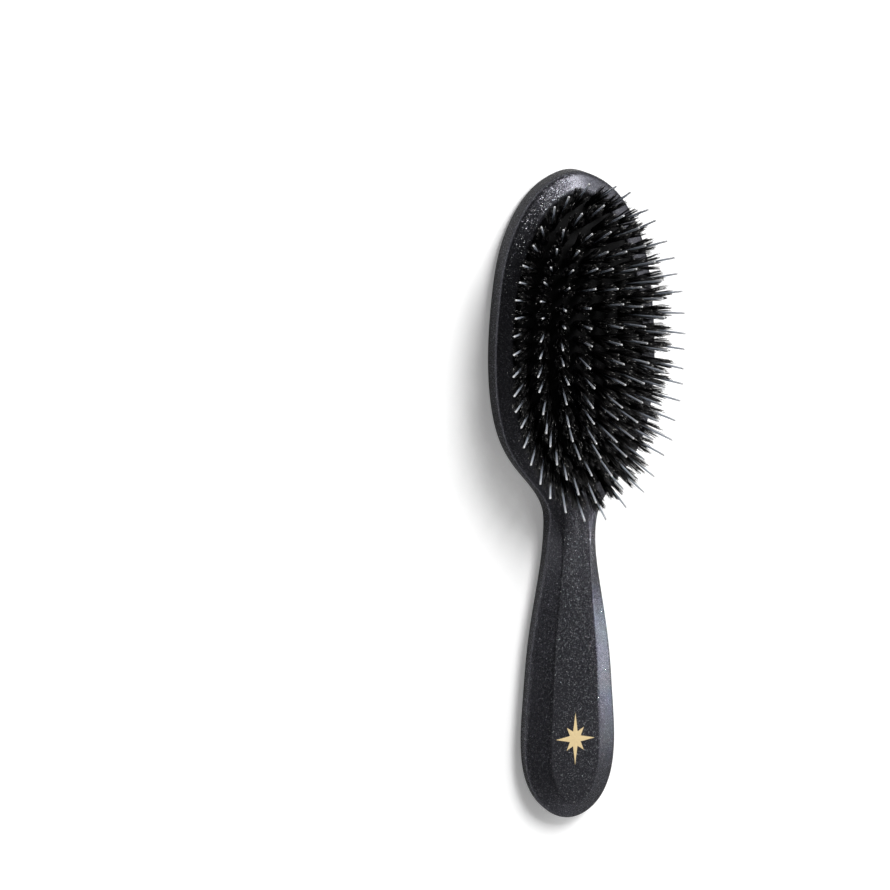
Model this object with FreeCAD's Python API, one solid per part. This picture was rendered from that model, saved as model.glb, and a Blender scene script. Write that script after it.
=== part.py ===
import FreeCAD, Part
import math
import os

# Cushioned hair brush lying on its back. X runs across, +Y to the tip of the head and
# +Z out of the bristle side. Lengths are in millimetres.

# Body
overall_length = 225.0
head_width = 57.0
neck_width = 17.0
handle_width = 32.4
body_thickness = 14.0
back_round = 3.0

# Outline of one side, from the handle's end to the tip of the head. Each row gives the share
# of the length, the share of the local half width, the front slope's share of that half width,
# and how round the slope is, from a flat bevel at 0 to a rounded rim at 1.
handle_row_shares = (
    (0.0, 0.0, 0.42, 0.0),
    (0.006, 0.33, 0.425, 0.0),
    (0.0232, 0.63, 0.445, 0.0),
    (0.0596, 0.895, 0.475, 0.0),
    (0.1124, 1.0, 0.49, 0.0),
    (0.1867, 0.957, 0.475, 0.0),
    (0.2667, 0.865, 0.425, 0.0),
    (0.3467, 0.698, 0.345, 0.0),
)
neck_row_shares = (
    (0.4133, 1.066, 0.51, 0.1),
    (0.449, 1.0, 0.5, 0.6),
    (0.4822, 1.06, 0.55, 0.95),
)
head_row_shares = (
    (0.5156, 0.458, 0.185, 1.0),
    (0.5484, 0.669, 0.19, 1.0),
    (0.5844, 0.836, 0.19, 1.0),
    (0.6444, 0.962, 0.19, 1.0),
    (0.7244, 1.0, 0.185, 1.0),
    (0.8089, 0.958, 0.18, 1.0),
    (0.88, 0.863, 0.185, 1.0),
    (0.9333, 0.694, 0.185, 1.0),
    (0.9733, 0.457, 0.185, 1.0),
    (0.9935, 0.21, 0.185, 1.0),
    (1.0, 0.0, 0.185, 1.0),
)

# Levels from the back up to the foot of the front slope: share of the thickness, then share
# of the back rounding that the outline is drawn in by.
lower_level_shares = ((0.0, 1.0), (0.07, 0.36), (0.25, 0.0), (0.54, 0.0))
# Levels up the front slope: share of its height, then share of its run on the flat bevel.
slope_level_shares = ((0.14, 0.06), (0.44, 0.36), (0.72, 0.64), (0.92, 0.86), (1.0, 1.0))
# How much of a quarter turn the rounded rim makes before it meets the recess.
rim_turn_share = 0.78

# Recess of the head
pad_width = 45.0
pad_length = 101.0
pad_centre_share = 0.7422
mouth_bevel = 0.4
mouth_depth = 2.2
groove_height = 2.4
groove_depth = 1.3
ledge_width = 1.4
floor_thickness = 3.6

# Cushion
pad_clearance = 0.1
pad_wall = 2.2
pad_crown = 8.0
pad_edge_drop = 0.2
# Steps of the hollow under the crown, as shares of the cushion's outline.
hollow_shares = (0.92, 0.62)

# Tufts and quills
ring_inset = 3.8
ring_end_inset = 3.4
ring_end_step = 6.2
inner_ring_width = 6.6
tuft_spacing = 5.15
length_fan_share = 1.6
quill_diameter = 0.72
quill_length = 23.5
quill_tip_length = 0.5
quill_tip_share = 0.5
tuft_root_diameter = 1.9
tuft_top_diameter = 4.4
tuft_length = 15.0
tuft_bore_clearance = 0.06
socket_depth = 1.0
socket_gap = 0.1

quill_sides = 5
tuft_sides = 5

half_length = overall_length / 2
pad_centre = overall_length * pad_centre_share - half_length
slope_foot = body_thickness * lower_level_shares[-1][0]
slope_height = body_thickness - slope_foot
rim_turn = math.pi / 2 * rim_turn_share
pad_edge = body_thickness - pad_edge_drop


def outline_rows():
    """Points of the right side with the front slope's run and its roundness."""
    rows = []
    groups = (
        (handle_row_shares, handle_width / 2),
        (neck_row_shares, neck_width / 2),
        (head_row_shares, head_width / 2),
    )
    for group, half in groups:
        for along, across, run, roundness in group:
            rows.append((across * half, along * overall_length - half_length, run * half, roundness))
    return rows


def closed_rows():
    """The right side followed by its mirror image, as one closed round."""
    right = outline_rows()
    left = [(-x, y, run, roundness) for x, y, run, roundness in reversed(right[1:-1])]
    return right + left


def chord_parameters(points):
    """Running chord length round a closed list of points."""
    values = [0.0]
    for index, point in enumerate(points):
        following = points[(index + 1) % len(points)]
        values.append(values[-1] + point.distanceToPoint(following))
    return values


def closed_curve(points, parameters):
    """Smooth closed curve that starts and ends square to the brush's midline."""
    curve = Part.BSplineCurve()
    across = (points[1] - points[-1]) / (parameters[1] * 2)
    curve.interpolate(
        Points=points + points[:1],
        Parameters=parameters,
        InitialTangent=across,
        FinalTangent=across,
        Scale=False,
    )
    return curve


def make_body():
    rows = closed_rows()
    base_points = [FreeCAD.Vector(x, y, 0) for x, y, run, roundness in rows]
    parameters = chord_parameters(base_points)
    base = closed_curve(base_points, parameters)
    inward = []
    for parameter in parameters[:-1]:
        tangent = base.tangent(parameter)[0]
        inward.append(FreeCAD.Vector(-tangent.y, tangent.x, 0).normalize())

    def level(z, insets):
        points = []
        for point, direction, inset in zip(base_points, inward, insets):
            points.append(point + direction * inset + FreeCAD.Vector(0, 0, z))
        return Part.Wire(closed_curve(points, parameters).toShape())

    levels = []
    for height_share, inset_share in lower_level_shares:
        levels.append(level(body_thickness * height_share, [back_round * inset_share] * len(rows)))
    for height_share, flat_share in slope_level_shares:
        turn = math.asin(height_share * math.sin(rim_turn))
        round_share = (1 - math.cos(turn)) / (1 - math.cos(rim_turn))
        insets = []
        for x, y, run, roundness in rows:
            insets.append(run * (flat_share + roundness * (round_share - flat_share)))
        levels.append(level(slope_foot + slope_height * height_share, insets))
    solid = Part.makeLoft(levels, True, True)

    groove_top = body_thickness - mouth_depth
    groove_floor = groove_top - groove_height
    recess = oval_loft((
        grown(-ledge_width, floor_thickness),
        grown(-ledge_width, groove_floor),
        grown(groove_depth, groove_floor),
        grown(groove_depth, groove_top),
        grown(0, groove_top),
        grown(0, body_thickness - mouth_bevel),
        grown(mouth_bevel * 2, body_thickness + mouth_bevel),
    ))
    return solid.cut(recess)


def grown(width, z):
    """The recess outline grown by a width, as two half axes and a height."""
    return pad_width / 2 + width, pad_length / 2 + width, z


def oval_loft(rings):
    """Upright solid through ovals about the cushion's centre."""
    wires = []
    for half_x, half_y, z in rings:
        oval = Part.Ellipse(
            FreeCAD.Vector(0, pad_centre + half_y, z),
            FreeCAD.Vector(half_x, pad_centre, z),
            FreeCAD.Vector(0, pad_centre, z),
        )
        wires.append(Part.Wire(oval.toShape()))
    return Part.makeLoft(wires, True, True)


def crown_point(x, y):
    """Place on the cushion's outer face above a point, and the way the face looks there."""
    half_x = pad_width / 2
    half_y = pad_length / 2
    along = y - pad_centre
    height = pad_edge + pad_crown * (1 - (x / half_x) ** 2 - (along / half_y) ** 2)
    slope_x = 2 * pad_crown * x / half_x ** 2
    slope_y = 2 * pad_crown * along / half_y ** 2
    return FreeCAD.Vector(x, y, height), slope_x, slope_y


def under_crown():
    """Everything under the cushion's outer face."""
    half_x = pad_width / 2 + groove_depth
    half_y = pad_length / 2 + groove_depth
    rise_x = pad_crown * (half_x / (pad_width / 2)) ** 2
    rise_y = pad_crown * (half_y / (pad_length / 2)) ** 2
    top = pad_edge + pad_crown
    patch = Part.BezierSurface()
    patch.increase(2, 2)
    for column, side_x in enumerate((-1, 0, 1)):
        for row, side_y in enumerate((-1, 0, 1)):
            lift = rise_x * (1 - 2 * abs(side_x)) + rise_y * (1 - 2 * abs(side_y))
            pole = FreeCAD.Vector(side_x * half_x, pad_centre + side_y * half_y, top + lift)
            patch.setPole(column + 1, row + 1, pole)
    return patch.toShape().extrude(FreeCAD.Vector(0, 0, -body_thickness * 2))


def make_pad(sockets):
    groove_top = body_thickness - mouth_depth
    groove_floor = groove_top - groove_height
    above = body_thickness + pad_crown * 2
    outer = oval_loft((
        grown(groove_depth - pad_clearance, groove_floor),
        grown(groove_depth - pad_clearance, groove_top - pad_clearance),
        grown(-pad_clearance, groove_top - pad_clearance),
        grown(-pad_clearance, above),
    ))
    hollow = []
    for share in hollow_shares:
        half_x = pad_width / 2 * share
        half_y = pad_length / 2 * share
        ceiling = crown_point(half_x, pad_centre)[0].z - pad_wall
        hollow.append(oval_loft(((half_x, half_y, groove_floor - pad_wall), (half_x, half_y, ceiling))))
    return outer.common(under_crown()).cut(hollow).cut(sockets)


def flat_sided(rings, count, hollow):
    """Solid with flat sides about the Z axis, through rings given as radius and height.

    A hollow one runs back from its last ring to its first, and any other gets two ends.
    """
    corners = []
    for radius, z in rings:
        turn = [2 * math.pi * index / count for index in range(count)]
        corners.append([FreeCAD.Vector(radius * math.cos(a), radius * math.sin(a), z) for a in turn])
    outlines = []
    for number in range(len(rings) if hollow else len(rings) - 1):
        low = corners[number]
        high = corners[(number + 1) % len(rings)]
        for index in range(count):
            following = (index + 1) % count
            outlines.append([low[index], low[following], high[following], high[index]])
    if not hollow:
        outlines.extend((corners[0], corners[-1]))
    faces = [Part.Face(Part.makePolygon(outline + outline[:1])) for outline in outlines]
    shell = Part.makeShell(faces)
    shell.sewShape()
    return Part.makeSolid(shell)


# Foot of a tuft and its quill, measured outwards from the cushion's outer face.
foot = -socket_depth + socket_gap


def make_quill():
    shank = quill_diameter / 2
    rings = (
        (shank, foot),
        (shank, quill_length - quill_tip_length),
        (shank * quill_tip_share, quill_length),
    )
    return flat_sided(rings, quill_sides, False)


def tuft_radius(distance):
    """Radius of the flared bundle at a distance from the cushion's outer face."""
    share = (distance - foot) / (tuft_length - foot)
    return (tuft_root_diameter + share * (tuft_top_diameter - tuft_root_diameter)) / 2


def make_tuft():
    bore = quill_diameter / 2 + tuft_bore_clearance
    rings = (
        (tuft_radius(foot), foot),
        (tuft_radius(tuft_length), tuft_length),
        (bore, tuft_length),
        (bore, foot),
    )
    return flat_sided(rings, tuft_sides, True)


def make_socket():
    """What the cushion leaves out for one tuft."""
    rings = (
        (tuft_radius(-socket_depth) + socket_gap, -socket_depth),
        (tuft_radius(socket_depth) + socket_gap, socket_depth),
    )
    return flat_sided(rings, tuft_sides, False)


def ring_spots(index):
    """Evenly spaced places on one of the oval rings, which step in from the cushion's rim.

    Each ring holds as many pairs as its length has room for.
    """
    inner_share = index / (len(rings) - 1)
    outer_x = pad_width / 2 - ring_inset
    half_x = outer_x + inner_share * (inner_ring_width / 2 - outer_x)
    half_y = pad_length / 2 - ring_end_inset - index * ring_end_step
    oval = Part.Ellipse(
        FreeCAD.Vector(0, pad_centre + half_y, 0),
        FreeCAD.Vector(half_x, pad_centre, 0),
        FreeCAD.Vector(0, pad_centre, 0),
    ).toShape()
    count = 2 * round(oval.Length / (2 * tuft_spacing))
    step = oval.Length / count
    start = step / 2 * ((index + 1) % 2)
    placements = []
    for number in range(count):
        spot = oval.valueAt(oval.getParameterByLength(start + number * step))
        place, slope_x, slope_y = crown_point(spot.x, spot.y)
        lean = FreeCAD.Vector(slope_x, slope_y * length_fan_share, 1)
        placements.append(FreeCAD.Placement(place, FreeCAD.Rotation(FreeCAD.Vector(0, 0, 1), lean)))
    return placements


def placed(shape, placements):
    copies = []
    for placement in placements:
        copy = shape.copy()
        copy.Placement = placement
        copies.append(copy)
    return copies


os.makedirs("parts", exist_ok=True)
quill = make_quill()
tuft = make_tuft()
socket = make_socket()
rings = ("outer", "second", "third", "inner")
sockets = []
for index, name in enumerate(rings):
    placements = ring_spots(index)
    Part.makeCompound(placed(quill, placements)).exportStep("parts/%s_quills.step" % name)
    Part.makeCompound(placed(tuft, placements)).exportStep("parts/%s_tufts.step" % name)
    sockets.extend(placed(socket, placements))
make_body().exportStep("parts/brush_body.step")
make_pad(sockets).exportStep("parts/cushion_pad.step")
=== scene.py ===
import math

import bmesh
import bpy
import numpy as np
from bpy.props import FloatProperty, FloatVectorProperty, IntProperty, PointerProperty
from bpy.types import Operator, Panel, PropertyGroup
from mathutils import Matrix, Vector


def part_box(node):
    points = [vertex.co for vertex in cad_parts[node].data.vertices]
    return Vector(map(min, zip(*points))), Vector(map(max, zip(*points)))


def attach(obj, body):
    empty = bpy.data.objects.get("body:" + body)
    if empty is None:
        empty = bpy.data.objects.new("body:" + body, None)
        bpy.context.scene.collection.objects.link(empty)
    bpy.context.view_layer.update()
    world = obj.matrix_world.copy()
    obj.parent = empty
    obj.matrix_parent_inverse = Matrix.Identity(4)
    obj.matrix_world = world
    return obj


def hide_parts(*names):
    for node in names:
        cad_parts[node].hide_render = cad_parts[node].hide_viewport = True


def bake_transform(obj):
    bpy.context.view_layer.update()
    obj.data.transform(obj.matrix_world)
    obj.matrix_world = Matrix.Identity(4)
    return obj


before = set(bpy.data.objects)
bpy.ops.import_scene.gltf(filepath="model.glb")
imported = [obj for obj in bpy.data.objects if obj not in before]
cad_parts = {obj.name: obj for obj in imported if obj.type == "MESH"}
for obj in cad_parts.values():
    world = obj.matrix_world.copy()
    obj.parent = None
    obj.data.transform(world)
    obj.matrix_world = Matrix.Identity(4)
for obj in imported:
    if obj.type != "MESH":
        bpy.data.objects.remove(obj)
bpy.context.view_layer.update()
body_low, body_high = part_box("brush_body")
pad_low, pad_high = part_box("cushion_pad")
pad_middle = (pad_low.y + pad_high.y) / 2
pad_half_length = (pad_high.y - pad_low.y) / 2

bl_info = {
    "name": "Cushioned Hair Brush",
    "version": (1, 0, 0),
    "blender": (4, 5, 0),
    "location": "View3D > Sidebar > Hair Brush",
    "description": "Builds the looks of a cushioned hair brush round its CAD frame",
    "category": "Add Mesh",
}

# Rings of tufts from the rim inwards, and the seed of the first one's random draws.
RINGS = ("outer", "second", "third", "inner")
FIRST_SEED = 40

# Room between the cushion and its recess, and the recess's ledge and floor.
CLEARANCE = 0.0001
LEDGE_WIDTH = 0.0014
HOLLOW_FLOOR = 0.0036

# Outline of one side, from the handle's end to the tip of the head. Each row gives the share
# of the length, the share of the local half width, the front slope's share of that half width,
# and how round the slope is, from a flat bevel at 0 to a rounded rim at 1.
HANDLE_ROWS = (
    (0.0, 0.0, 0.42, 0.0),
    (0.006, 0.33, 0.425, 0.0),
    (0.0232, 0.63, 0.445, 0.0),
    (0.0596, 0.895, 0.475, 0.0),
    (0.1124, 1.0, 0.49, 0.0),
    (0.1867, 0.957, 0.475, 0.0),
    (0.2667, 0.865, 0.425, 0.0),
    (0.3467, 0.698, 0.345, 0.0),
)
NECK_ROWS = (
    (0.4133, 1.066, 0.51, 0.0),
    (0.449, 1.0, 0.5, 0.3),
    (0.4822, 1.06, 0.55, 0.85),
)
HEAD_ROWS = (
    (0.5156, 0.458, 0.185, 1.0),
    (0.5484, 0.669, 0.19, 1.0),
    (0.5844, 0.836, 0.19, 1.0),
    (0.6444, 0.962, 0.19, 1.0),
    (0.7244, 1.0, 0.185, 1.0),
    (0.8089, 0.958, 0.18, 1.0),
    (0.88, 0.863, 0.185, 1.0),
    (0.9333, 0.694, 0.185, 1.0),
    (0.9733, 0.457, 0.185, 1.0),
    (0.9935, 0.21, 0.185, 1.0),
    (1.0, 0.0, 0.185, 1.0),
)


class BodySettings(PropertyGroup):
    """Sizes and finish of the lacquered body"""
    head_width: FloatProperty(
        name="Head Width", description="Width of the oval head", default=0.057, unit="LENGTH")
    neck_width: FloatProperty(
        name="Neck Width", description="Least width of the neck", default=0.017, unit="LENGTH")
    handle_width: FloatProperty(
        name="Handle Width", description="Most width of the handle", default=0.0324, unit="LENGTH")
    back_rounding: FloatProperty(
        name="Back Rounding", description="How far the back's edge is drawn in",
        default=0.003, unit="LENGTH")
    back_rise: FloatProperty(
        name="Back Rise", description="Height of the back's rounded edge", default=0.0035, unit="LENGTH")
    slope_foot: FloatProperty(
        name="Slope Foot", description="Height where the front slope leaves the side wall",
        default=0.00756, unit="LENGTH")
    lip_rounding: FloatProperty(
        name="Lip Rounding", description="Rounding of the cushion recess's lip",
        default=0.0005, unit="LENGTH")
    stations: IntProperty(
        name="Stations", description="Points round the outline", default=420, min=60)
    lacquer_colour: FloatVectorProperty(
        name="Lacquer", description="Charcoal under the flakes", subtype="COLOR",
        default=(0.0435, 0.0437, 0.0523))
    flake_colour: FloatVectorProperty(
        name="Flakes", description="Silver of the flakes", subtype="COLOR",
        default=(0.55, 0.57, 0.62))
    flake_size: FloatProperty(
        name="Flake Size", description="Spacing of the larger flakes", default=0.00023, unit="LENGTH")


class CushionSettings(PropertyGroup):
    """Sizes and colour of the rubber cushion"""
    bead_width: FloatProperty(
        name="Bead Width", description="How far the bead stands out of the dome's rim",
        default=0.0012, unit="LENGTH")
    bead_height: FloatProperty(
        name="Bead Height", description="Height of the bead", default=0.0023, unit="LENGTH")
    crown: FloatProperty(
        name="Crown", description="Rise of the dome over its rim", default=0.008, unit="LENGTH")
    rubber_colour: FloatVectorProperty(
        name="Rubber", description="Colour of the rubber", subtype="COLOR",
        default=(0.0016, 0.0016, 0.0018))


class TuftSettings(PropertyGroup):
    """Sizes and colours of the bristle tufts"""
    bristles: IntProperty(
        name="Bristles", description="Bristles in each tuft", default=150, min=8)
    clumps: IntProperty(
        name="Clumps", description="Clumps that the ends of a tuft fall into", default=14, min=1)
    gather: FloatProperty(
        name="Gather", description="How far the ends draw together in their clumps", default=0.55,
        subtype="FACTOR", min=0, max=1)
    root_radius: FloatProperty(
        name="Root Radius", description="Radius of a tuft in its socket", default=0.00105, unit="LENGTH")
    top_radius: FloatProperty(
        name="Top Radius", description="Radius of a tuft at its ends", default=0.0030, unit="LENGTH")
    shortest: FloatProperty(
        name="Shortest", description="Length of the short bristles", default=0.0132, unit="LENGTH")
    longest: FloatProperty(
        name="Longest", description="Length of the longest bristles", default=0.0194, unit="LENGTH")
    bristle_radius: FloatProperty(
        name="Bristle Radius", description="Radius of a bristle at its root",
        default=0.00013, unit="LENGTH")
    bristle_colour: FloatVectorProperty(
        name="Bristle", description="Main colour of the bristles", subtype="COLOR",
        default=(0.0055, 0.0053, 0.0055))
    sheen_colour: FloatVectorProperty(
        name="Pale Bristle", description="Colour of the palest bristles", subtype="COLOR",
        default=(0.03, 0.029, 0.0285))


class QuillSettings(PropertyGroup):
    """Sizes and colours of the nylon quills"""
    radius: FloatProperty(
        name="Radius", description="Radius of a quill", default=0.00034, unit="LENGTH")
    sides: IntProperty(name="Sides", description="Faces round a quill", default=10, min=5)
    lean_room: FloatProperty(
        name="Lean Room", description="Length taken off so that a leaning quill stays in the CAD box",
        default=0.0001, unit="LENGTH")
    tip_colour: FloatVectorProperty(
        name="Tip", description="Colour of the rounded tips", subtype="COLOR",
        default=(0.95, 0.95, 0.95))
    # The shank colour is painted shade: darker than the nylon's own white, as it looks among the black
    # tufts.
    shaded_shank_colour: FloatVectorProperty(
        name="Shank", description="Colour of the shanks near the tufts", subtype="COLOR",
        default=(0.44, 0.48, 0.55))


class OrnamentSettings(PropertyGroup):
    """Sizes and colour of the gold star"""
    height: FloatProperty(
        name="Height", description="Length of the star along the handle", default=0.0185, unit="LENGTH")
    width: FloatProperty(
        name="Width", description="Width of the star", default=0.0140, unit="LENGTH")
    place: FloatProperty(
        name="Place", description="Place of the star's middle along the brush",
        default=-0.083, unit="LENGTH")
    foil: FloatProperty(
        name="Foil", description="How far the foil stands proud", default=0.00004, unit="LENGTH")
    gold_colour: FloatVectorProperty(
        name="Gold", description="Colour of the foil", subtype="COLOR", default=(1.0, 0.78, 0.43))


class StageSettings(PropertyGroup):
    """Floor, camera and lights"""
    floor_colour: FloatVectorProperty(
        name="Floor", description="Colour of the floor", subtype="COLOR", default=(0.9, 0.9, 0.9))
    yaw: FloatProperty(
        name="Yaw", description="Turn of the camera to the left",
        default=math.radians(16.48), subtype="ANGLE")
    pitch: FloatProperty(
        name="Pitch", description="Tilt of the camera to the tip",
        default=math.radians(10.33), subtype="ANGLE")
    roll: FloatProperty(
        name="Roll", description="Roll of the camera", default=math.radians(0.12), subtype="ANGLE")
    distance: FloatProperty(
        name="Distance", description="Distance of the camera", default=1.5, unit="LENGTH")
    lens: FloatProperty(
        name="Lens", description="Focal length in millimetres", default=179.6, unit="CAMERA")
    aim: FloatVectorProperty(
        name="Aim", description="Point in the middle of the picture", subtype="TRANSLATION",
        default=(-0.0448, 0.0205, 0.007))
    key_power: FloatProperty(
        name="Key", description="Power of the light above and beyond the tip",
        default=25.0, unit="POWER")
    fill_power: FloatProperty(
        name="Fill", description="Power of the light at the right", default=9.0, unit="POWER")
    strip_power: FloatProperty(
        name="Strip", description="Power of the low strip light at the right",
        default=0.014, unit="POWER")
    overhead_power: FloatProperty(
        name="Overhead", description="Power of the small light over the neck",
        default=0.0006, unit="POWER")
    left_power: FloatProperty(
        name="Left", description="Power of the weak low light at the left",
        default=0.0011, unit="POWER")
    sky: FloatProperty(
        name="Sky", description="Strength of the room's soft light, most of it from the right",
        default=0.6)


class Shade:
    """A shader socket that takes part in Python expressions."""

    def __init__(self, tree, socket=None):
        self.tree = tree
        self.socket = socket

    def node(self, kind, settings, inputs, output=0):
        """Add any node: its settings come first, then the values or links of its sockets."""
        added = self.tree.nodes.new(kind)
        for name, setting in settings.items():
            setattr(added, name, setting)
        for key, given in inputs.items():
            if isinstance(given, Shade):
                self.tree.links.new(given.socket, added.inputs[key])
            else:
                added.inputs[key].default_value = given
        return Shade(self.tree, added.outputs[output] if added.outputs else None)

    def other(self, output):
        """Another output of the same node."""
        return Shade(self.tree, self.socket.node.outputs[output])

    def math(self, operation, first, second):
        """A sum on two values."""
        return self.node("ShaderNodeMath", {"operation": operation}, {0: first, 1: second})

    def vector(self, operation, first, second):
        """A sum on two vectors."""
        return self.node("ShaderNodeVectorMath", {"operation": operation}, {0: first, 1: second})

    def between(self, factor, start, end):
        """Colour between two others: a Mix node has its colours on sockets 6 and 7 and output 2."""
        inputs = {0: factor, 6: opaque(start), 7: opaque(end)}
        return self.node("ShaderNodeMix", {"data_type": "RGBA"}, inputs, 2)

    def mix(self, start, end):
        """Colour between two others, with this value as the factor."""
        return self.between(self, start, end)

    def __add__(self, value):
        return self.math("ADD", self, value)

    def __radd__(self, value):
        return self.math("ADD", value, self)

    def __sub__(self, value):
        return self.math("SUBTRACT", self, value)

    def __rsub__(self, value):
        return self.math("SUBTRACT", value, self)

    def __mul__(self, value):
        return self.math("MULTIPLY", self, value)

    def __rmul__(self, value):
        return self.math("MULTIPLY", value, self)

    def __pow__(self, value):
        return self.math("POWER", self, value)

    def __rpow__(self, value):
        return self.math("POWER", value, self)

    def __gt__(self, value):
        return self.math("GREATER_THAN", self, value)

    def __lt__(self, value):
        return self.math("LESS_THAN", self, value)


def opaque(colour):
    """A plain colour with its alpha, or a linked one as it is."""
    return colour if isinstance(colour, Shade) else (*colour, 1.0)


def dimmed(colour, share):
    """A colour that is darker, or lighter, by the given share."""
    return [part * share for part in colour]


def new_finish(name):
    """An empty material and the start of its expressions."""
    material = bpy.data.materials.new(name)
    material.use_nodes = True
    material.node_tree.nodes.clear()
    return material, Shade(material.node_tree)


def surface(start, inputs):
    """Principled surface on the material's output."""
    shader = start.node("ShaderNodeBsdfPrincipled", {}, inputs)
    start.node("ShaderNodeOutputMaterial", {}, {"Surface": shader})


def flake_layer(start, place, spacing):
    """Random colour of each flake and a number split off it, one flake to a cell of the spacing."""
    cells = start.node(
        "ShaderNodeTexVoronoi", {"voronoi_dimensions": "3D"},
        {"Vector": place, "Scale": 1 / spacing}, "Color")
    return cells, start.node("ShaderNodeSeparateColor", {}, {"Color": cells}, "Red")


def lacquer_finish(settings):
    """Charcoal lacquer full of small silver flakes, each tilted its own way, under a clear coat."""
    rarity, fine_rarity, fine_scale = 11.0, 6.0, 0.6
    most_silver, most_dust, tint = 0.4, 0.1, 0.16
    ground_tilt, flake_tilt = 0.14, 0.34
    material, start = new_finish("charcoal_flake_lacquer")
    place = start.node("ShaderNodeTexCoord", {}, {}, "Object")
    turn, light = flake_layer(start, place, settings.flake_size)
    fine_turn, fine_light = flake_layer(start, place, settings.flake_size * fine_scale)
    cloud = start.node(
        "ShaderNodeTexNoise", {}, {"Vector": place, "Scale": 120.0, "Detail": 3.0, "Roughness": 0.6})
    ground = cloud.mix(dimmed(settings.lacquer_colour, 0.8), dimmed(settings.lacquer_colour, 1.2))
    flake = light ** rarity
    silver = start.between(tint, settings.flake_colour, fine_turn)
    dusted = (fine_light ** fine_rarity * most_dust).mix(ground, silver)
    flaked = (flake * most_silver).mix(dusted, silver)
    normal = start.node("ShaderNodeNewGeometry", {}, {}, "Normal")
    centred = start.vector("SUBTRACT", start.vector("ADD", turn, fine_turn), (1.0, 1.0, 1.0))
    scaled = start.node(
        "ShaderNodeVectorMath", {"operation": "SCALE"},
        {0: centred, "Scale": ground_tilt + flake_tilt * flake})
    tilted = start.vector("ADD", normal, scaled)
    facing = start.node("ShaderNodeVectorMath", {"operation": "NORMALIZE"}, {0: tilted})
    surface(start, {
        "Base Color": flaked,
        "Metallic": 0.82 + 0.16 * light.other("Green"),
        "Roughness": 0.38 - 0.08 * cloud - 0.1 * flake,
        "Specular IOR Level": 0.4,
        "Specular Tint": (0.05, 0.05, 0.05, 1.0),
        "Normal": facing,
        "Coat Weight": 0.16,
        "Coat Roughness": 0.2,
        "Coat IOR": 1.45,
    })
    return material


def rubber_finish(settings):
    """Matt black rubber with a fine moulded grain."""
    material, start = new_finish("cushion_rubber")
    place = start.node("ShaderNodeTexCoord", {}, {}, "Object")
    grain = start.node("ShaderNodeTexNoise", {}, {"Vector": place, "Scale": 2600.0, "Detail": 2.0})
    bloom = start.node("ShaderNodeTexNoise", {}, {"Vector": place, "Scale": 90.0, "Detail": 4.0})
    colour = (bloom * 0.6).mix(settings.rubber_colour, dimmed(settings.rubber_colour, 2.0))
    bump = start.node("ShaderNodeBump", {}, {"Strength": 0.25, "Distance": 0.0001, "Height": grain})
    surface(start, {
        "Base Color": colour,
        "Roughness": 0.55 + 0.2 * bloom,
        "Normal": bump,
        "Specular IOR Level": 0.12,
    })
    return material


def bristle_finish(settings):
    """Dark natural bristle, paler here and there, with painted glints that whiten a few cut ends."""
    end_start, glint_lots, glint_colour = 0.96, 0.93, (0.75, 0.73, 0.7)
    material, start = new_finish("boar_bristle")
    along = start.node("ShaderNodeAttribute", {"attribute_name": "along"}, {}, "Fac")
    lot = start.node("ShaderNodeAttribute", {"attribute_name": "lot"}, {}, "Fac")
    body = (lot ** 3.0).mix(settings.bristle_colour, settings.sheen_colour)
    # Painted glints: near-white colour on the cut ends of a few bristles stands in for light caught by
    # those ends.
    ends = (along > end_start) * (lot > glint_lots)
    surface(start, {
        "Base Color": (ends * 0.7).mix(body, glint_colour),
        "Roughness": 0.42 - 0.14 * lot,
        "Specular IOR Level": 0.28,
    })
    return material


def nylon_finish(settings):
    """Milky nylon, white at the tip and painted darker grey-blue down the shank as shade among the black
    tufts.
    """
    material, start = new_finish("quill_nylon")
    along = start.node("ShaderNodeAttribute", {"attribute_name": "along"}, {}, "Fac")
    lot = start.node("ShaderNodeAttribute", {"attribute_name": "lot"}, {}, "Fac")
    # Painted shade: the shank colour is darker than the nylon's white, standing in for the shade and
    # dark bristles round the shanks.
    colour = (along ** 9.0).mix(settings.shaded_shank_colour, settings.tip_colour)
    surface(start, {
        "Base Color": colour,
        "Roughness": 0.3 + 0.12 * lot,
        "IOR": 1.5,
        "Transmission Weight": 0.45,
    })
    return material


def gold_finish(settings):
    """Hot foil with a slightly uneven press."""
    material, start = new_finish("gold_foil")
    place = start.node("ShaderNodeTexCoord", {}, {}, "Object")
    press = start.node("ShaderNodeTexNoise", {}, {"Vector": place, "Scale": 900.0, "Detail": 3.0})
    colour = press.mix(settings.gold_colour, dimmed(settings.gold_colour, 0.82))
    bump = start.node("ShaderNodeBump", {}, {"Strength": 0.2, "Distance": 0.00005, "Height": press})
    surface(start, {
        "Base Color": colour,
        "Metallic": 0.4,
        "Roughness": 0.34 + 0.16 * press,
        "Normal": bump,
    })
    return material


def floor_finish(settings):
    """Pale matt floor with a weak glow of its own, which keeps shadows light."""
    material, start = new_finish("pale_floor")
    place = start.node("ShaderNodeTexCoord", {}, {}, "Object")
    speckle = start.node("ShaderNodeTexNoise", {}, {"Vector": place, "Scale": 40.0, "Detail": 2.0})
    colour = speckle.mix(settings.floor_colour, dimmed(settings.floor_colour, 0.99))
    surface(start, {
        "Base Color": colour,
        "Roughness": 0.9,
        "Specular IOR Level": 0.1,
        "Emission Color": (1.0, 1.0, 1.0, 1.0),
        "Emission Strength": 0.22,
    })
    return material


def add_piece(name, mesh, material):
    """Put a mesh with its material into the scene."""
    piece = bpy.data.objects.new(name, mesh)
    mesh.materials.append(material)
    bpy.context.scene.collection.objects.link(piece)
    return piece


def smooth(mesh):
    """Shade a mesh smooth."""
    mesh.polygons.foreach_set("use_smooth", [True] * len(mesh.polygons))
    mesh.update()


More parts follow.
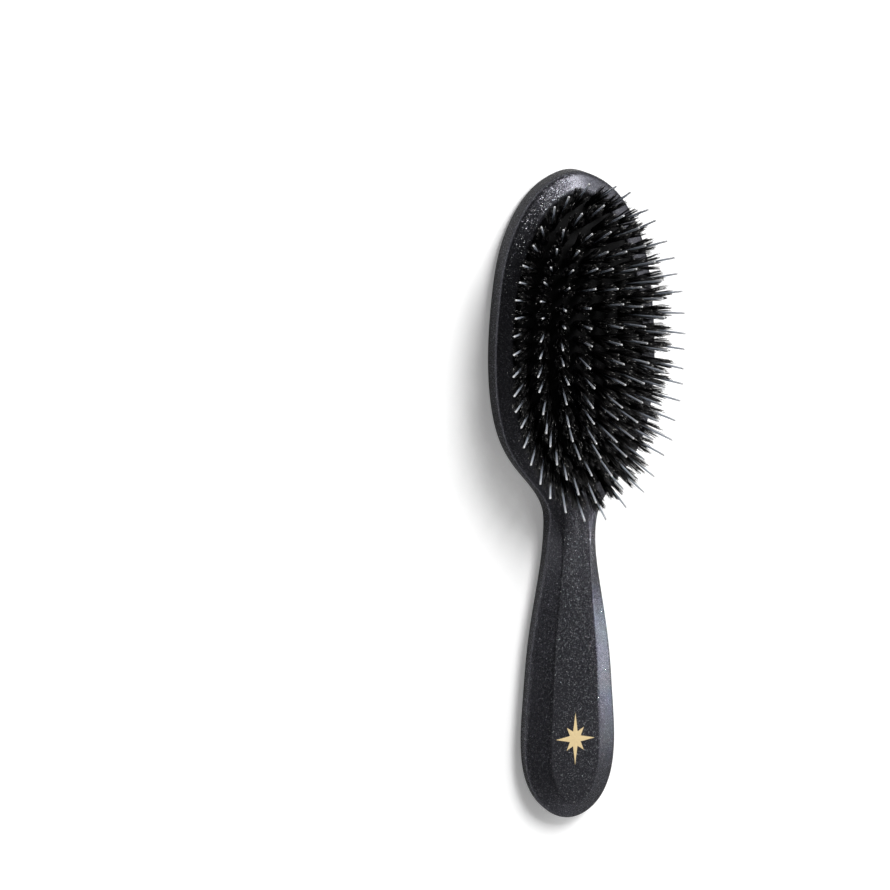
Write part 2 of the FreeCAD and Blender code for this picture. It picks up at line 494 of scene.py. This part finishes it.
def closed_spline(rows, count):
    """Even samples of the smooth closed curve through rows whose first two columns are the place."""
    rows = np.array(rows)
    steps = np.linalg.norm(np.roll(rows[:, :2], -1, 0) - rows[:, :2], axis=1)
    knots = np.concatenate(([0.0], np.cumsum(steps)))
    size = len(rows)
    system = np.zeros((size, size))
    pull = np.zeros_like(rows)

    # One equation to each point gives the two spans that meet there the same slope.
    for here in range(size):
        after = (here + 1) % size
        system[here, here - 1] += steps[here - 1]
        system[here, here] += 2 * (steps[here - 1] + steps[here])
        system[here, after] += steps[here]
        rise = (rows[after] - rows[here]) / steps[here]
        pull[here] = 6 * (rise - (rows[here] - rows[here - 1]) / steps[here - 1])
    bend = np.linalg.solve(system, pull)
    places = np.linspace(0, knots[-1], count, endpoint=False)
    span = np.clip(np.searchsorted(knots, places, side="right") - 1, 0, size - 1)
    after = (span + 1) % size
    left = ((knots[span + 1] - places) / steps[span])[:, None]
    right = 1 - left
    curl = (left ** 3 - left) * bend[span] + (right ** 3 - right) * bend[after]
    return left * rows[span] + right * rows[after] + curl * steps[span][:, None] ** 2 / 6


def outline_rows(settings):
    """The whole outline as rows of place, slope run and roundness."""
    length = body_high.y - body_low.y
    right = []
    groups = (
        (HANDLE_ROWS, settings.handle_width / 2),
        (NECK_ROWS, settings.neck_width / 2),
        (HEAD_ROWS, settings.head_width / 2),
    )
    for rows, half in groups:
        for along, across, run, roundness in rows:
            right.append((across * half, body_low.y + along * length, run * half, roundness))
    left = [(-x, y, run, roundness) for x, y, run, roundness in reversed(right[1:-1])]
    return right + left


def corner(first, bend, last, count):
    """Points of a rounded corner, from a quadratic curve."""
    points = []
    for share in np.linspace(0, 1, count):
        point = [(1 - share) ** 2 * a + 2 * share * (1 - share) * b + share ** 2 * c
                 for a, b, c in zip(first, bend, last)]
        points.append(point)
    return points


def slope_profiles():
    """Height and inset shares up the front slope, for a flat bevel and for the head's crowned rim."""
    foot, brow, lean = 0.0815, 0.942, 1.026
    low_end, high_start = 0.24, 0.88
    flat = corner((0.0, 0.0), (foot, 0.0), (low_end, lean * (low_end - foot)), 7)
    flat += corner((high_start, lean * (high_start - foot)), (1.0, brow), (1.0, 1.0), 7)
    wall, edge = (0.40, 0.0), (0.70, 0.20)
    rim = corner(wall, (0.62, 0.0), edge, 7) + corner(edge, (0.84, 0.55), (1.0, 1.0), 8)[1:]
    return flat, rim


def oval(half_x, half_y, z, count):
    """Ring of points about the middle of the cushion."""
    turns = np.linspace(0, 2 * math.pi, count, endpoint=False)
    x, y = half_x * np.cos(turns), pad_middle + half_y * np.sin(turns)
    return np.column_stack((x, y, np.full(count, z)))


def dome_size(cushion):
    """Half width and half length of the cushion's dome, inside its bead."""
    return pad_high.x - cushion.bead_width, pad_half_length - cushion.bead_width


def band_faces(levels, count, start=0):
    """Quads between closed rings of equal count, stored one after another."""
    faces = []
    for level in range(levels - 1):
        low = start + level * count
        for here in range(count):
            after = (here + 1) % count
            faces.append((low + here, low + after, low + count + after, low + count + here))
    return faces


def clear_runs(place, inward, run, lip, cushion):
    """Runs of the front slope, drawn back bit by bit where they would cross the recess's lip."""
    lip_share, tries, less = 1.6, 60, 0.985
    dome_x, dome_y = dome_size(cushion)
    keep_x, keep_y = dome_x + lip * lip_share, dome_y + lip * lip_share
    for _ in range(tries):
        inner = place + inward * run[:, None]
        inside = (inner[:, 0] / keep_x) ** 2 + ((inner[:, 1] - pad_middle) / keep_y) ** 2 < 1
        run = np.where(inside, run * less, run)
    return run


def shell_levels(settings, cushion):
    """Rings of the body's outside, from the back's rounded edge up the side to the flat front."""
    count, back_steps = settings.stations, 9
    rows = closed_spline(outline_rows(settings), count)
    place, roundness = rows[:, :2], np.clip(rows[:, 3], 0, 1)
    tangent = np.roll(place, -1, 0) - np.roll(place, 1, 0)
    tangent /= np.linalg.norm(tangent, axis=1)[:, None]
    inward = np.column_stack((-tangent[:, 1], tangent[:, 0]))
    run = clear_runs(place, inward, rows[:, 2], settings.lip_rounding, cushion)
    levels = []
    for turn in np.linspace(0, math.pi / 2, back_steps):
        inset = settings.back_rounding * (1 - math.sin(turn))
        height = np.full(count, settings.back_rise * (1 - math.cos(turn)))
        levels.append(np.column_stack((place + inward * inset, height)))
    flat, rim = slope_profiles()
    for (flat_height, flat_inset), (rim_height, rim_inset) in zip(flat, rim):
        share = flat_height + roundness * (rim_height - flat_height)
        inset = run * (flat_inset + roundness * (rim_inset - flat_inset))
        height = settings.slope_foot + (body_high.z - settings.slope_foot) * share
        levels.append(np.column_stack((place + inward * inset[:, None], height)))
    return levels


def recess_levels(settings, cushion, count):
    """Rings of the recess: rounded lip, wall, groove for the bead, ledge and floor."""
    lip, lip_steps, ledge = settings.lip_rounding, 5, pad_low.z
    groove_top = ledge + cushion.bead_height + CLEARANCE
    groove = cushion.bead_width + CLEARANCE
    hollow = []
    for turn in np.linspace(0, math.pi / 2, lip_steps):
        grow = lip * (1 - math.sin(turn))
        hollow.append((grow, body_high.z - lip * (1 - math.cos(turn))))
    hollow += [(0.0, groove_top), (groove, groove_top), (groove, ledge)]
    hollow += [(-LEDGE_WIDTH, ledge), (-LEDGE_WIDTH, HOLLOW_FLOOR)]
    dome_x, dome_y = dome_size(cushion)
    return [oval(dome_x + CLEARANCE + grow, dome_y + CLEARANCE + grow, z, count) for grow, z in hollow]


def body_mesh(settings, cushion):
    """Closed shell of the body with its recess."""
    count, half = settings.stations, settings.stations // 2
    levels = shell_levels(settings, cushion)
    mouth = recess_levels(settings, cushion, half)
    mesh = bmesh.new()
    corners = [mesh.verts.new(point) for point in np.concatenate(levels + mouth)]
    mesh.verts.ensure_lookup_table()
    hollow_start = count * len(levels)
    for face in band_faces(len(levels), count) + band_faces(len(mouth), half, hollow_start):
        mesh.faces.new([corners[index] for index in face])

    # The back is a ladder of quads, with a triangle at either end.
    back = corners[:count]
    for here in range(half):
        rung = [back[here], back[-here], back[-here - 1], back[here + 1]]
        mesh.faces.new(sorted(set(rung), key=rung.index))

    # The hollow's floor is one face, and the front is filled from the slope to the recess's lip.
    mesh.faces.new(corners[-half:])
    front = corners[hollow_start - count:hollow_start]
    opening = corners[hollow_start:hollow_start + half]
    edges = []
    for loop in (front, opening):
        for here, after in zip(loop, loop[1:] + loop[:1]):
            edges.append(mesh.edges.get((here, after)))
    bmesh.ops.triangle_fill(mesh, use_beauty=True, use_dissolve=False, edges=edges, normal=(0, 0, 1))
    bmesh.ops.recalc_face_normals(mesh, faces=mesh.faces)
    result = bpy.data.meshes.new("brush_shell")
    mesh.to_mesh(result)
    mesh.free()
    smooth(result)
    return result


def cushion_mesh(settings):
    """Dome over an oval rim with a bead below it, closed underneath."""
    count, rings, crowding = 160, 30, 0.8
    roll, roll_start, roll_span = 0.0006, 0.93, 0.07
    rim_x, rim_y = dome_size(settings)
    edge = pad_high.z - settings.crown
    bead_top = pad_low.z + settings.bead_height
    loops = [
        oval(pad_high.x, pad_half_length, pad_low.z, count),
        oval(pad_high.x, pad_half_length, bead_top, count),
        oval(rim_x, rim_y, bead_top, count),
        oval(rim_x, rim_y, edge - roll, count),
    ]
    for share in np.linspace(1, 0, rings, endpoint=False) ** crowding:
        height = edge + settings.crown * (1 - share ** 2)
        soft = roll * max(0.0, (share - roll_start) / roll_span) ** 2 / 2
        loops.append(oval(rim_x * share, rim_y * share, height - soft, count))
    points = np.concatenate(loops)
    top = len(points)
    points = np.concatenate((points, [(0.0, pad_middle, pad_high.z)]))
    faces = band_faces(len(loops), count)
    faces.append(tuple(range(count))[::-1])
    last = top - count
    for here in range(count):
        faces.append((last + here, last + (here + 1) % count, top))
    mesh = bpy.data.meshes.new("cushion_dome")
    mesh.from_pydata(points.tolist(), [], faces)
    smooth(mesh)
    return mesh


def pin_axes(node):
    """Foot, direction and length of every pin in a CAD node."""
    digits, end_band = 7, 1e-5
    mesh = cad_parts[node].data
    places = np.array([vertex.co for vertex in mesh.vertices])
    points, which = np.unique(np.round(places, digits), axis=0, return_inverse=True)
    which = which.reshape(-1)
    group = list(range(len(points)))

    def leader(index):
        """First point of the pin that a point belongs to."""
        while group[index] != index:
            group[index] = group[group[index]]
            index = group[index]
        return index

    # Points that share a face belong to the same pin.
    for polygon in mesh.polygons:
        first = leader(which[polygon.vertices[0]])
        for vertex in polygon.vertices[1:]:
            group[leader(which[vertex])] = first
    pins = {}
    for index in range(len(points)):
        pins.setdefault(leader(index), []).append(points[index])
    feet, ways, lengths = [], [], []
    for members in pins.values():
        members = np.array(members)
        centre = members.mean(0)
        way = np.linalg.svd(members - centre)[2][0]
        way *= math.copysign(1.0, way[2])
        reach = (members - centre) @ way
        foot = members[reach < reach.min() + end_band].mean(0)
        tip = members[reach > reach.max() - end_band].mean(0)
        feet.append(foot)
        ways.append((tip - foot) / np.linalg.norm(tip - foot))
        lengths.append(np.linalg.norm(tip - foot))
    return np.array(feet), np.array(ways), np.array(lengths)


def side_ways(ways):
    """Two directions square to each axis and to each other."""
    first = np.cross(ways, (0.0, 1.0, 0.0))
    first /= np.linalg.norm(first, axis=1)[:, None]
    return first, np.cross(ways, first)


def tubes(name, centres, radii, first, second, sides, along, lot):
    """One mesh of closed tapered tubes along rows of centre points."""
    amount, steps = radii.shape
    turns = np.linspace(0, 2 * math.pi, sides, endpoint=False)
    around = np.cos(turns)[None, :, None] * first[:, None, :]
    around = around + np.sin(turns)[None, :, None] * second[:, None, :]
    points = centres[:, :, None, :] + radii[:, :, None, None] * around[:, None, :, :]
    last = (steps - 1) * sides
    one = band_faces(steps, sides)
    one.append(tuple(range(sides))[::-1])
    one.append(tuple(range(last, last + sides)))
    faces = []
    for number in range(amount):
        shift = number * steps * sides
        faces += [tuple(index + shift for index in face) for face in one]
    mesh = bpy.data.meshes.new(name)
    mesh.from_pydata(points.reshape(-1, 3).tolist(), [], faces)
    for label, values in (("along", along), ("lot", lot)):
        attribute = mesh.attributes.new(label, "FLOAT", "POINT")
        spread = np.repeat(values.reshape(-1), sides).astype(np.float32)
        attribute.data.foreach_set("value", spread)
    smooth(mesh)
    return mesh


def leaning(ways, draw):
    """Directions with the small unevenness of tufts that were drawn in one by one."""
    usual, most = math.radians(1.5), 0.06
    first, second = side_ways(ways)
    tilt = draw.normal(0, usual, (len(ways), 2)).clip(-most, most)
    leaned = ways + tilt[:, :1] * first + tilt[:, 1:] * second
    return leaned / np.linalg.norm(leaned, axis=1)[:, None]


def tuft_mesh(name, feet, ways, settings, draw):
    """Flared bundles of fine bristles with uneven ends."""
    steps, sides = 5, 3
    flare, innermost, rounding, sway_size = 1.25, 0.08, 0.08, 0.0002
    thinnest, thickest, taper = 0.8, 1.15, 0.5
    each, tufts = settings.bristles, len(feet)
    amount = tufts * each
    first, second = side_ways(ways)
    first, second = np.repeat(first, each, 0), np.repeat(second, each, 0)
    feet, ways = np.repeat(feet, each, 0), np.repeat(ways, each, 0)
    share = np.linspace(0, 1, steps)[None, :]
    spot = np.sqrt(draw.random(amount))
    turn = draw.random(amount) * 2 * math.pi
    root = settings.root_radius * spot[:, None] * np.column_stack((np.cos(turn), np.sin(turn)))

    # Bristles lean together at their ends, in a few clumps to each tuft.
    lock_spot = np.sqrt(draw.uniform(innermost, 1, (tufts, settings.clumps)))
    lock_turn = draw.random((tufts, settings.clumps)) * 2 * math.pi
    locks = lock_spot[:, :, None] * np.stack((np.cos(lock_turn), np.sin(lock_turn)), 2)
    own = root / settings.root_radius
    gaps = np.linalg.norm(own.reshape(tufts, each, 1, 2) - locks[:, None, :, :], axis=3)
    lock = gaps.argmin(2)
    gathered = np.take_along_axis(locks, lock[:, :, None], 1).reshape(amount, 2)
    top = settings.top_radius * (own * (1 - settings.gather) + gathered * settings.gather)
    spread = root[:, None, :] + (top - root)[:, None, :] * (share ** flare)[:, :, None]

    # A bristle's length follows its clump's for one half and is its own for the other.
    lock_tail = np.take_along_axis(draw.random((tufts, settings.clumps)), lock, 1).reshape(amount)
    tail = 0.5 * lock_tail + 0.5 * draw.random(amount)
    reach = settings.shortest + (settings.longest - settings.shortest) * tail
    reach *= 1 - rounding * spot ** 2
    sway_turn = draw.random(amount) * 2 * math.pi
    sway = draw.normal(0, sway_size, amount)
    aside = (np.cos(sway_turn) * sway)[:, None] * first + (np.sin(sway_turn) * sway)[:, None] * second
    centres = feet[:, None, :] + ways[:, None, :] * (reach[:, None] * share)[:, :, None]
    centres = centres + first[:, None, :] * spread[:, :, :1] + second[:, None, :] * spread[:, :, 1:]
    centres = centres + aside[:, None, :] * (share ** 2)[:, :, None]
    thickness = settings.bristle_radius * draw.uniform(thinnest, thickest, amount)
    radii = thickness[:, None] * (1 - taper * share ** 2)
    along = np.repeat(share, amount, 0)
    lot = np.repeat(draw.random(amount)[:, None], steps, 1)
    return tubes(name, centres, radii, first, second, sides, along, lot)


def quill_mesh(name, feet, ways, lengths, settings, draw):
    """Round nylon pins with hemispherical tips."""
    shank_shares, tip_steps, tip_flat = (0.0, 0.35, 0.6, 0.8, 0.92), 5, 0.12
    first, second = side_ways(ways)
    radius = settings.radius
    reach = [lengths * share for share in shank_shares]
    width = [radius] * len(shank_shares)
    for turn in np.linspace(0, math.pi / 2, tip_steps):
        reach.append(lengths - radius * (1 - math.sin(turn)))
        width.append(radius * max(math.cos(turn), tip_flat))
    reach = np.column_stack(reach)
    centres = feet[:, None, :] + ways[:, None, :] * reach[:, :, None]
    radii = np.repeat(np.array(width)[None, :], len(feet), 0)
    along = reach / lengths[:, None]
    lot = np.repeat(draw.random(len(feet))[:, None], reach.shape[1], 1)
    return tubes(name, centres, radii, first, second, settings.sides, along, lot)


def star_outline(settings):
    """Eight-pointed star, longer along the handle, as points round its middle."""
    long_ray, short_ray, waist = 1.0, 0.62, 0.3
    reaches = (long_ray, waist, short_ray, waist) * 4
    points = []
    for index, reach in enumerate(reaches):
        turn = 2 * math.pi * index / len(reaches)
        x = settings.width / 2 * reach * math.cos(turn)
        y = settings.height / 2 * reach * math.sin(turn)
        points.append((x, y))
    return points


def soft_room(settings):
    """World that is bright at the right and the handle's end, dark opposite and dimmer overhead."""
    dark_side, bright_side, overhead_loss = (0.04, 0.04, 0.042), (1.0, 1.0, 1.0), 0.42
    handle_share, reach = 0.6, 0.9
    world = bpy.data.worlds.new("soft_room")
    world.use_nodes = True
    world.node_tree.nodes.clear()
    room = Shade(world.node_tree)
    place = room.node("ShaderNodeTexCoord", {}, {}, "Generated")
    across = room.node("ShaderNodeSeparateXYZ", {}, {0: place}, "X")
    side = across - handle_share * across.other("Y")
    lit = room.node("ShaderNodeMapRange", {}, {"Value": side, "From Min": -reach, "From Max": reach})
    shade = lit.mix(dark_side, bright_side)
    strength = settings.sky * (1.0 - overhead_loss * across.other("Z"))
    background = room.node("ShaderNodeBackground", {}, {"Color": shade, "Strength": strength})
    room.node("ShaderNodeOutputWorld", {}, {"Surface": background})
    return world


def add_lamps(scene, settings):
    """Area lights, each given by its place, size, power, the point it is aimed at and its spread."""
    middle, handle = Vector((0.0, 0.02, 0.01)), Vector((0.01, -0.024, 0.012))
    neck, bevel = Vector((0.0, 0.022, 0.014)), Vector((-0.01, -0.082, 0.012))
    wide, narrow, slim = math.radians(180), math.radians(6), math.radians(4)
    lamps = (
        ("key", (0.36, 0.88, 1.18), (0.5, 0.7), settings.key_power, middle, wide),
        ("fill", (1.6, 0.5, 1.1), (1.4, 1.0), settings.fill_power, middle, wide),
        ("strip", (1.0, -0.1, 0.007), (0.1, 0.012), settings.strip_power, handle, narrow),
        ("overhead", (0.28, -0.168, 0.954), (0.08, 0.06), settings.overhead_power, neck, slim),
        ("left", (-0.95, -0.26, 0.29), (0.12, 0.12), settings.left_power, bevel, narrow),
    )
    for name, place, size, power, centre, spread in lamps:
        lamp = bpy.data.lights.new(name, "AREA")
        lamp.shape = "RECTANGLE"
        lamp.size, lamp.size_y = size
        lamp.energy = power
        lamp.spread = spread
        holder = bpy.data.objects.new(name, lamp)
        holder.location = place
        holder.rotation_euler = (centre - Vector(place)).to_track_quat("-Z", "Y").to_euler()
        scene.collection.objects.link(holder)


def add_camera(scene, settings):
    """Camera above the brush, a little to its left and towards the tip."""
    yaw, pitch = settings.yaw, settings.pitch
    level = math.cos(pitch)
    back = Vector((-math.sin(yaw) * level, math.sin(pitch), math.cos(yaw) * level))
    right = Vector((0.0, 1.0, 0.0)).cross(back).normalized()
    up = back.cross(right)
    turned = Matrix.Rotation(settings.roll, 3, back)
    axes = Matrix((turned @ right, turned @ up, back)).transposed()
    eye = Vector(settings.aim) + back * settings.distance
    camera = bpy.data.cameras.new("camera")
    camera.lens = settings.lens
    camera.sensor_width = 36.0
    camera.clip_end = 20.0
    holder = bpy.data.objects.new("camera", camera)
    holder.matrix_world = Matrix.Translation(eye) @ axes.to_4x4()
    scene.collection.objects.link(holder)
    scene.camera = holder


class HAIRBRUSH_OT_stage(Operator):
    """Make the floor, the lights and the camera"""
    bl_idname = "hairbrush.stage"
    bl_label = "Make Stage"

    def execute(self, context):
        scene = context.scene
        settings = scene.brush_stage
        half = 3.0
        mesh = bpy.data.meshes.new("floor")
        corners = [(-half, -half, 0), (half, -half, 0), (half, half, 0), (-half, half, 0)]
        mesh.from_pydata(corners, [], [(0, 1, 2, 3)])
        add_piece("floor", mesh, floor_finish(settings))
        scene.world = soft_room(settings)
        scene.view_settings.view_transform = "Standard"
        add_lamps(scene, settings)
        add_camera(scene, settings)
        return {"FINISHED"}


class HAIRBRUSH_OT_body(Operator):
    """Make the lacquered body with its recess"""
    bl_idname = "hairbrush.body"
    bl_label = "Make Body"

    def execute(self, context):
        settings = context.scene.brush_body
        mesh = body_mesh(settings, context.scene.brush_cushion)
        piece = add_piece("brush_shell", mesh, lacquer_finish(settings))
        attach(piece, "brush")
        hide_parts("brush_body")
        return {"FINISHED"}


class HAIRBRUSH_OT_cushion(Operator):
    """Make the domed rubber cushion"""
    bl_idname = "hairbrush.cushion"
    bl_label = "Make Cushion"

    def execute(self, context):
        settings = context.scene.brush_cushion
        piece = add_piece("cushion_dome", cushion_mesh(settings), rubber_finish(settings))
        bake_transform(piece)
        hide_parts("cushion_pad")
        return {"FINISHED"}


class HAIRBRUSH_OT_tufts(Operator):
    """Make the rings of bristle tufts and of the quills in their middles"""
    bl_idname = "hairbrush.tufts"
    bl_label = "Make Tufts and Quills"

    def execute(self, context):
        tuft, quill = context.scene.brush_tuft, context.scene.brush_quill
        bristle, nylon = bristle_finish(tuft), nylon_finish(quill)
        for number, ring in enumerate(RINGS):
            draw = np.random.default_rng(FIRST_SEED + number)
            feet, ways, lengths = pin_axes(ring + "_quills")
            ways = leaning(ways, draw)
            lengths = lengths - quill.lean_room
            bundles = tuft_mesh(ring, feet, ways, tuft, draw)
            pins = quill_mesh(ring, feet, ways, lengths, quill, draw)
            made = (
                (ring + "_bristles", bundles, bristle, "_tufts", "bristle"),
                (ring + "_pins", pins, nylon, "_quills", "nylon"),
            )
            for name, mesh, material, node, slot in made:
                piece = add_piece(name, mesh, material)
                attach(piece, ring + "_ring")
                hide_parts(ring + node)
        return {"FINISHED"}


class HAIRBRUSH_OT_ornament(Operator):
    """Make the gold star on the handle"""
    bl_idname = "hairbrush.ornament"
    bl_label = "Make Ornament"

    def execute(self, context):
        settings = context.scene.brush_ornament
        outline = star_outline(settings)
        count = len(outline)
        low = [(x, y + settings.place, body_high.z - settings.foil) for x, y in outline]
        high = [(x, y + settings.place, body_high.z + settings.foil) for x, y in outline]
        crest = (0.0, settings.place, body_high.z + settings.foil * 2)
        faces = band_faces(2, count)
        faces += [(count + i, count + (i + 1) % count, 2 * count) for i in range(count)]
        faces.append(tuple(range(count))[::-1])
        mesh = bpy.data.meshes.new("gold_star")
        mesh.from_pydata(low + high + [crest], [], faces)
        piece = add_piece("gold_star", mesh, gold_finish(settings))
        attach(piece, "brush")
        return {"FINISHED"}


class HAIRBRUSH_PT_panel(Panel):
    """Makers and settings of the hair brush"""
    bl_idname = "HAIRBRUSH_PT_panel"
    bl_label = "Hair Brush"
    bl_space_type = "VIEW_3D"
    bl_region_type = "UI"
    bl_category = "Hair Brush"

    def draw(self, context):
        for operator, groups in MAKERS:
            self.layout.operator(operator.bl_idname)
            for group in groups:
                settings = getattr(context.scene, group)
                for name in settings.__annotations__:
                    self.layout.prop(settings, name)


GROUPS = {
    "brush_stage": StageSettings,
    "brush_body": BodySettings,
    "brush_cushion": CushionSettings,
    "brush_tuft": TuftSettings,
    "brush_quill": QuillSettings,
    "brush_ornament": OrnamentSettings,
}
MAKERS = (
    (HAIRBRUSH_OT_stage, ("brush_stage",)),
    (HAIRBRUSH_OT_body, ("brush_body",)),
    (HAIRBRUSH_OT_cushion, ("brush_cushion",)),
    (HAIRBRUSH_OT_tufts, ("brush_tuft", "brush_quill")),
    (HAIRBRUSH_OT_ornament, ("brush_ornament",)),
)


def register():
    """Register the settings, the makers and the panel."""
    for name, group in GROUPS.items():
        bpy.utils.register_class(group)
        setattr(bpy.types.Scene, name, PointerProperty(type=group))
    for operator, _ in MAKERS:
        bpy.utils.register_class(operator)
    bpy.utils.register_class(HAIRBRUSH_PT_panel)


def unregister():
    """Take the panel, the makers and the settings away again."""
    bpy.utils.unregister_class(HAIRBRUSH_PT_panel)
    for operator, _ in reversed(MAKERS):
        bpy.utils.unregister_class(operator)
    for name, group in reversed(GROUPS.items()):
        delattr(bpy.types.Scene, name)
        bpy.utils.unregister_class(group)


def main():
    """Build everything."""
    register()
    bpy.ops.hairbrush.stage()
    bpy.ops.hairbrush.body()
    bpy.ops.hairbrush.cushion()
    bpy.ops.hairbrush.tufts()
    bpy.ops.hairbrush.ornament()


if __name__ == "__main__":
    main()
